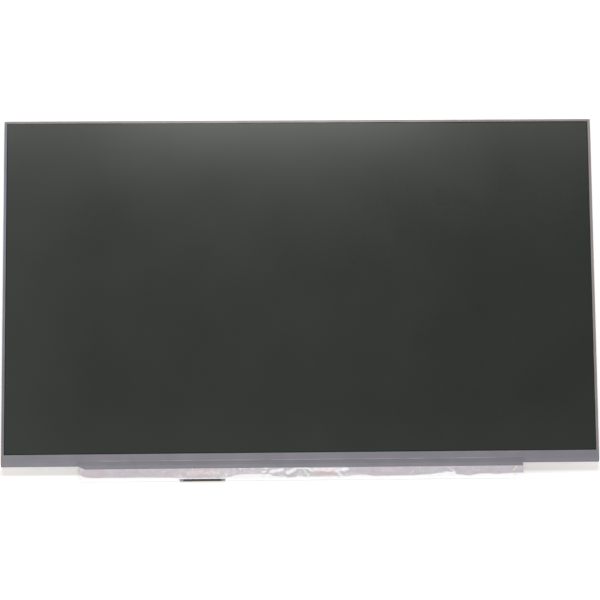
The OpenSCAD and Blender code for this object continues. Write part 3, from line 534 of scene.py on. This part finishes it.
def make_materials():
    """One material for each slot of the record, under the slot's name, in place of the plain ones."""
    for plain in list(bpy.data.materials):
        bpy.data.materials.remove(plain)
    tape_dark = rgb(0.206, 0.196, 0.228)
    tape_light = rgb(0.237, 0.223, 0.257)
    made = [
        plate_metal(),
        mottled("frame_plastic", grey(0.11), grey(0.14), 9, 0.35, (0.5, 0.65), 0.012),
        mottled("reflector_film", grey(0.86), grey(0.93), 20, 0.6, (0.3, 0.45), 0.004),
        light_guide_acrylic(),
        lined_film("flex_circuit", rgb(0.40, 0.16, 0.02), rgb(0.60, 0.30, 0.06), 1.2, "Y", (0.25, 0.4)),
        mottled("light_plastic", grey(0.8), grey(0.87), 1.5, 0.2, (0.35, 0.5), 0.003),
        mottled("phosphor", rgb(0.86, 0.62, 0.07), rgb(0.95, 0.78, 0.16), 0.8, 0.15, (0.3, 0.5), 0.004),
        mottled("adhesive", rgb(0.64, 0.62, 0.50), rgb(0.74, 0.72, 0.60), 3, 0.5, (0.2, 0.5), 0.006),
        mottled("diffuser_film", rgb(0.82, 0.83, 0.84), rgb(0.89, 0.90, 0.91), 20, 0.3, (0.5, 0.7), 0.006),
        lined_film("prism_film", rgb(0.70, 0.73, 0.76), rgb(0.84, 0.86, 0.88), 0.4, "Y", (0.12, 0.25)),
        mottled("black_tape", grey(0.010), grey(0.018), 6, 0.3, (0.5, 0.7), 0.006),
        mottled(
            "polariser_film", rgb(0.045, 0.048, 0.046), rgb(0.06, 0.062, 0.06), 30, 1, (0.12, 0.2), 0.002
        ),
        matt_polariser(),
        panel_glass(),
        lined_film("driver_film", rgb(0.13, 0.060, 0.018), rgb(0.30, 0.155, 0.05), 0.35, "X", (0.25, 0.4)),
        mottled("silicon", rgb(0.045, 0.048, 0.060), rgb(0.060, 0.064, 0.078), 3, 0.3, (0.08, 0.2), 0.001),
        printed_board(),
        mottled(
            "connector_plastic", rgb(0.085, 0.066, 0.054), rgb(0.115, 0.090, 0.074), 2, 0.2, (0.4, 0.6), 0.006
        ),
        metal("shell_steel", rgb(0.37, 0.37, 0.36), rgb(0.47, 0.47, 0.46), 0.3, (0.25, 0.4)),
        metal("gold_plate", rgb(0.80, 0.56, 0.20), rgb(0.90, 0.70, 0.32), 0.2, (0.18, 0.3)),
        mottled("chip_resin", grey(0.018), grey(0.028), 2, 0.12, (0.45, 0.65), 0.005),
        mottled("ferrite", rgb(0.060, 0.060, 0.066), rgb(0.090, 0.090, 0.095), 1.2, 0.15, (0.45, 0.7), 0.01),
        mottled("ceramic_body", rgb(0.28, 0.18, 0.10), rgb(0.38, 0.26, 0.16), 1, 0.15, (0.4, 0.6), 0.004),
        metal("tin_plate", rgb(0.60, 0.60, 0.58), rgb(0.74, 0.74, 0.72), 0.2, (0.22, 0.4)),
        grey_tape("grey_tape", tape_dark, tape_light, creased=True),
        silver_foil()
    ]
    return {material.name: material for material in made}


def edge_tapes():
    """The grey tape in painted tones of its own on the left, right and top edge, lit and shaded copies that
    stand for how light falls on each; the top one shines.
    """
    return [
        # Painted tones: one tape, lit and shaded differently on each edge
        grey_tape("left_edge_tape", rgb(0.163, 0.166, 0.206), rgb(0.190, 0.195, 0.240)),
        grey_tape("right_edge_tape", rgb(0.224, 0.196, 0.184), rgb(0.260, 0.230, 0.217)),
        grey_tape("top_edge_tape", rgb(0.172, 0.128, 0.104), rgb(0.202, 0.155, 0.130), (0.24, 0.30), 1.0)
    ]


def dress_nodes(materials):
    """Gives every CAD node the material of its slot in the record, and the edge tapes their own painted
    tones.
    """
    slots = {part["node"]: part["material_slot"] for part in frame["record"]["subparts"]}
    for name, piece in frame["nodes"].items():
        piece.data.materials.clear()
        piece.data.materials.append(materials[slots[name]])
    for tape in edge_tapes():
        frame["nodes"][tape.name].data.materials[0] = tape


def wave(x, y, layer):
    """Smooth noise from about -1 to 1 over a plane, another one on each layer."""
    return noise.noise(Vector((x, y, layer)))


def crest_depth(x):
    """Depth of the foil's crest below the body's lower edge at X."""
    knots = [knot[0] for knot in CREST]
    i = min(max(bisect_right(knots, x), 1), len(CREST) - 1)
    (x0, d0), (x1, d1) = CREST[i - 1], CREST[i]
    t = min(max((x - x0) / (x1 - x0), 0), 1)
    eased = (t + t * t * (3 - 2 * t)) / 2
    return d0 + (d1 - d0) * eased + CREST_RIPPLE * wave(x * 0.45, 3.1, 0)


def fold_lean(x, depth):
    """How strongly a fold leans towards the table at X and a depth below the body's edge."""
    strongest = 0
    stray = wave(x * 0.6, depth * 0.9, 4.4)
    here = Vector((x + FOLD_STRAY_X * stray, depth + FOLD_STRAY_DEPTH * stray))
    uneven = 1 + FOLD_VARIES * wave(x * 0.45, depth * 0.6, 9.1)
    for x0, d0, x1, d1, strength, half_width in FOLDS:
        start = Vector((x0, d0))
        run = Vector((x1, d1)) - start
        t = min(max((here - start).dot(run) / run.length_squared, 0), 1)
        off = (here - start - run * t).length / half_width
        strongest = max(strongest, strength * exp(-off * off))
    return strongest * uneven


def slack(x):
    """How loose the foil is at X: 1 in its slack middle, 0 where it is drawn flat."""
    return max(0, min(1, (x - SLACK_LEFT) / SLACKENS_OVER, (SLACK_RIGHT - x) / TIGHTENS_OVER))


def crumple(x, y):
    """Height of the slow waves between the folds."""
    broad = BROAD_WAVES * wave(x * 0.11, y * 0.22, 1.7)
    narrow = NARROW_WAVES * wave(x * 0.33 + y * 0.2, y * 0.4, 8.2)
    return (FLAT_SHARE + (1 - FLAT_SHARE) * slack(x)) * (broad + narrow)


def foil_rises(x):
    """Heights over its start that the foil reaches at X on each row down to its crest."""
    start_y = FOIL_TAPE_Y - EDGE_RUN
    step = (start_y - BODY_EDGE + crest_depth(x)) / FLAT_ROWS
    slope = FOIL_RISE * (1 + SLACK_STEEPER * slack(x))
    heights = [0]
    for i in range(FLAT_ROWS):
        depth = BODY_EDGE - start_y + step * (i + 0.5)
        heights.append(heights[-1] + step * (slope - FOLD_FALL * fold_lean(x, depth)))
    return heights


def foil_bulges(columns, rises):
    """How far the foil bulges up beside the tape at each column, so that it can fall towards the table."""
    needed = []
    for x, heights in zip(columns, rises):
        beyond_crest = BODY_EDGE - crest_depth(x) - FOIL_EDGE_Y
        needed.append(max(0, -min(heights), CREST_FALL * beyond_crest - heights[-1]))
    spans = [needed[max(0, i - BULGE_REACH):i + BULGE_REACH + 1] for i in range(len(needed))]
    return [sum(span) / len(span) for span in spans]


def foil_profile(x, rises, bulge):
    """Points of the foil's middle surface at X, from under the strip tape to its lowest edge."""
    start_y = FOIL_TAPE_Y - EDGE_RUN
    crest_y = BODY_EDGE - crest_depth(x)
    rows = [(FOIL_HIGH.y / MM, FOIL_FLAT_Z), (FOIL_TAPE_Y, FOIL_FLAT_Z)]
    for i, rise in enumerate(rises):
        y = start_y + (crest_y - start_y) * i / FLAT_ROWS
        waves = min(1, i / WAVE_ROWS) * crumple(x, y)
        rows.append((y, min(max(FOIL_FLAT_Z + bulge + rise + waves, FOIL_FLAT_Z), FOIL_TOP_Z)))
    crest_z = rows[-1][1]
    for i in range(1, SLOPE_ROWS + 1):
        t = i / SLOPE_ROWS
        y = crest_y + (FOIL_EDGE_Y - crest_y) * t
        sag = SAG * wave(x * 0.5, y * 0.8, 6.0) * (1 - t)
        rows.append((y, max(crest_z + (FOIL_LOW_Z - crest_z) * t + sag, FOIL_LOW_Z)))
    low_y = FOIL_LOW.y / MM + FOIL_T / 2
    low_z = FOIL_LOW.z / MM
    for i in range(1, TURN_ROWS + 1):
        t = i / TURN_ROWS
        y = FOIL_EDGE_Y + (low_y - FOIL_EDGE_Y) * min(1, TURN_HASTE * t)
        inward = EDGE_WAVES * abs(wave(x * 0.3, t * 2, 2.0)) * (1 - t)
        rows.append((y + inward, FOIL_FLAT_Z + (low_z - FOIL_FLAT_Z) * t ** TURN_POWER))
    return rows


def foil_columns(left, right, notch_left, notch_right):
    """X of each column of the foil's mesh, with one on each side of the connector's notch."""
    count = round((right - left) / FOIL_STEP)
    columns = [left + (right - left) * i / count for i in range(count + 1)]
    for edge in (notch_left, notch_right):
        nearest = min(range(len(columns)), key=lambda i: abs(columns[i] - edge))
        columns[nearest] = edge
    return columns


def keep_edges_sharp(mesh):
    """Marks a sheet's open edges and its bends beside the tape as sharp, which keeps its shading crisp."""
    reach = 1.1 * EDGE_RUN * MM
    sheet = bmesh.new()
    sheet.from_mesh(mesh)
    bmesh.ops.delete(sheet, geom=[vert for vert in sheet.verts if not vert.link_faces], context="VERTS")
    for edge in sheet.edges:
        bent = all(abs(vert.co.y - FOIL_TAPE_Y * MM) < reach for vert in edge.verts)
        edge.smooth = not edge.is_boundary and not bent
    sheet.to_mesh(mesh)
    sheet.free()


def make_foil(material):
    """Crumpled foil over the board, open in front of the connector, in place of the CAD node."""
    shell_low, shell_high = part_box("connector_shell")
    notch_left = shell_low.x / MM - NOTCH_GAP
    notch_right = shell_high.x / MM + NOTCH_GAP
    columns = foil_columns(FOIL_LOW.x / MM, FOIL_END, notch_left, notch_right)
    rises = [foil_rises(x) for x in columns]
    bulges = foil_bulges(columns, rises)
    profiles = [foil_profile(*column) for column in zip(columns, rises, bulges)]
    rows = len(profiles[0])
    edge_row = rows - 1 - TURN_ROWS
    points = [Vector((x, y, z)) * MM for x, profile in zip(columns, profiles) for y, z in profile]
    faces = []
    for i in range(len(columns) - 1):
        open_here = notch_left <= columns[i] and columns[i + 1] <= notch_right
        last = edge_row - NOTCH_ROWS if open_here else rows - 1
        for j in range(last):
            a = i * rows + j
            faces.append((a, a + 1, a + rows + 1, a + rows))
    mesh = bpy.data.meshes.new("crumpled_foil")
    mesh.from_pydata(points, [], faces)
    mesh.validate()
    keep_edges_sharp(mesh)
    mesh.materials.append(material)
    mesh.polygons.foreach_set("use_smooth", [True] * len(mesh.polygons))
    piece = bpy.data.objects.new("crumpled_foil", mesh)
    bpy.context.scene.collection.objects.link(piece)
    solid = piece.modifiers.new("thickness", "SOLIDIFY")
    solid.thickness = FOIL_T * MM
    solid.offset = 0
    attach(piece, "root")
    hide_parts("board_foil")


def shade_lift(tree, down, shaded):
    """Lift of the table in the body's shade: painted light evens it out at the body's edge and painted shade
    dims it beside the board.
    """
    beside_board = around(tree, "X", 0, BOARD_SIDE, BODY_CORNER, 1, CORNER_SHARE)
    lost = maths(tree, "MULTIPLY", beside_board, across(tree, "X", -MIDDLE, MIDDLE, GLOW_LOSS, 0))
    glow = between(tree, down, GLOW_FROM * MM, GLOW_TO * MM, EDGE_GLOW, 0)
    glow = maths(tree, "MULTIPLY", glow, maths(tree, "SUBTRACT", 1.0, lost))
    dimming = across(tree, "X", -MIDDLE, MIDDLE, LEFT_DIMMING, RIGHT_DIMMING)
    dimming = maths(tree, "MULTIPLY", dimming, beside_board)
    change = maths(tree, "MULTIPLY", shaded, maths(tree, "SUBTRACT", glow, dimming))
    return maths(tree, "ADD", change, FLOOR_LIFT)


def table_white():
    """White: what falls on it is seen with a lift to white, and the panel's shadow stays, but below the
    body's lower edge the lift is varied: a tinted painted shade near the body, and painted light further in
    front, which hides the foil's shadow.
    """
    material, tree = new_tree("table")
    lit = add(tree, "ShaderNodeBsdfDiffuse", {"Color": FLOOR_WHITE})
    down = maths(tree, "SUBTRACT", BODY_EDGE * MM, along(tree, "Y"))
    shaded = between(tree, down, SHADE_START * MM, 0, 0, 1)
    slanted = maths(tree, "MULTIPLY_ADD", along(tree, "X"), -SHADE_TILT, down)
    past = between(tree, slanted, (SHADE_DEPTH - SHADE_BLUR) * MM, (SHADE_DEPTH + SHADE_BLUR) * MM, 0, 1)
    # Painted light in front of the shade's lower boundary, which hides the foil's shadow
    near = between(tree, past, 0, 1, shade_lift(tree, down, shaded), FRONT_LIFT)
    away = add(tree, "ShaderNodeVectorMath", {0: place(tree)}, operation="LENGTH").outputs["Value"]
    far = between(tree, away, FADE_FROM * MM, FADE_TO * MM, 0, 1)
    strength = maths(tree, "MAXIMUM", near, far)
    # Painted tint of the shade
    painted_tint = maths(tree, "MULTIPLY", shaded, maths(tree, "SUBTRACT", 1.0, past))
    tint = blended(tree, painted_tint, grey(1.0), PAINTED_SHADE_COLOUR)
    lift = add(tree, "ShaderNodeEmission", {"Color": tint, "Strength": strength})
    both = add(tree, "ShaderNodeAddShader", {0: lit.outputs[0], 1: lift.outputs[0]})
    seen = add(tree, "ShaderNodeMixShader", {0: background_rays(tree), 1: lit.outputs[0], 2: both.outputs[0]})
    add(tree, "ShaderNodeOutputMaterial", {"Surface": seen.outputs[0]})
    return material


def make_floor():
    """A wide flat table just below the panel."""
    mesh = bpy.data.meshes.new("table")
    r = FLOOR_REACH * MM
    z = -FLOOR_GAP * MM
    mesh.from_pydata([(-r, -r, z), (r, -r, z), (r, r, z), (-r, r, z)], [], [(0, 1, 2, 3)])
    mesh.update()
    mesh.materials.append(table_white())
    floor = bpy.data.objects.new("table", mesh)
    bpy.context.scene.collection.objects.link(floor)


def background_rays(tree):
    """1 for the rays that show the background: seen straight, mirrored or through something."""
    path = add(tree, "ShaderNodeLightPath")
    mirrored = maths(tree, "MAXIMUM", path.outputs["Is Glossy Ray"], path.outputs["Is Transmission Ray"])
    return maths(tree, "MAXIMUM", path.outputs["Is Camera Ray"], mirrored)


def make_world():
    """White surroundings with a soft fill light; mirrored, they are less bright overhead and low behind."""
    world = bpy.data.worlds.new("surroundings")
    bpy.context.scene.world = world
    world.use_nodes = True
    tree = world.node_tree
    tree.nodes.clear()
    direction = add(tree, "ShaderNodeTexCoord").outputs["Generated"]
    parts = add(tree, "ShaderNodeSeparateXYZ", {"Vector": direction}).outputs
    straight = add(tree, "ShaderNodeLightPath").outputs["Is Camera Ray"]
    aside = between(tree, parts["Z"], *OVERHEAD_Z, 1, 0)
    below = between(tree, parts["Y"], *OVERHEAD_Y, 1, 0)
    bright = maths(tree, "MAXIMUM", maths(tree, "MAXIMUM", aside, below), straight)
    low_down = between(tree, parts["Z"], *HORIZON_Z, HORIZON_STRENGTH, 1)
    low_down = maths(tree, "MAXIMUM", low_down, between(tree, parts["Y"], *HORIZON_Y, 1, 0))
    low_down = maths(tree, "MAXIMUM", low_down, straight)
    rays = background_rays(tree)
    others = maths(tree, "SUBTRACT", 1.0, rays)
    mirrored = maths(tree, "MULTIPLY", between(tree, bright, 0, 1, OVERHEAD_STRENGTH, 1), low_down)
    strength = maths(tree, "MULTIPLY_ADD", others, FILL_STRENGTH, maths(tree, "MULTIPLY", mirrored, rays))
    colour = blended(tree, maths(tree, "MAXIMUM", bright, others), OVERHEAD_COLOUR, grey(1.0))
    background = add(tree, "ShaderNodeBackground", {"Color": colour, "Strength": strength})
    add(tree, "ShaderNodeOutputWorld", {"Surface": background.outputs[0]})


def make_lamps():
    """Soft area lamps, which the camera doesn't see."""
    for name, (spot, aim, width, height, power) in LAMPS.items():
        light = bpy.data.lights.new(name, "AREA")
        light.shape = "RECTANGLE"
        light.size = width * MM
        light.size_y = height * MM
        light.energy = power
        lamp = bpy.data.objects.new(name, light)
        bpy.context.scene.collection.objects.link(lamp)
        lamp.location = Vector(spot) * MM
        lamp.rotation_euler = (Vector(aim) - Vector(spot)).to_track_quat("-Z", "Y").to_euler()
        lamp.visible_camera = False


def make_camera():
    """The photograph's point of view."""
    data = bpy.data.cameras.new("camera")
    data.lens = CAMERA_LENS
    data.sensor_width = 36
    data.clip_start = 0.01
    data.clip_end = 60
    camera = bpy.data.objects.new("camera", data)
    bpy.context.scene.collection.objects.link(camera)
    back = -Vector(CAMERA_FORWARD).normalized()
    right = Vector(CAMERA_UP).cross(back).normalized()
    up = back.cross(right)
    turn = Matrix((right, up, back)).transposed().to_4x4()
    camera.matrix_world = Matrix.Translation(Vector(CAMERA_PLACE) * MM) @ turn
    bpy.context.scene.camera = camera


bpy.context.scene.view_settings.view_transform = "Standard"
make_camera()
make_world()
make_lamps()
slot_materials = make_materials()
dress_nodes(slot_materials)
make_foil(slot_materials["silver_foil"])
make_floor()
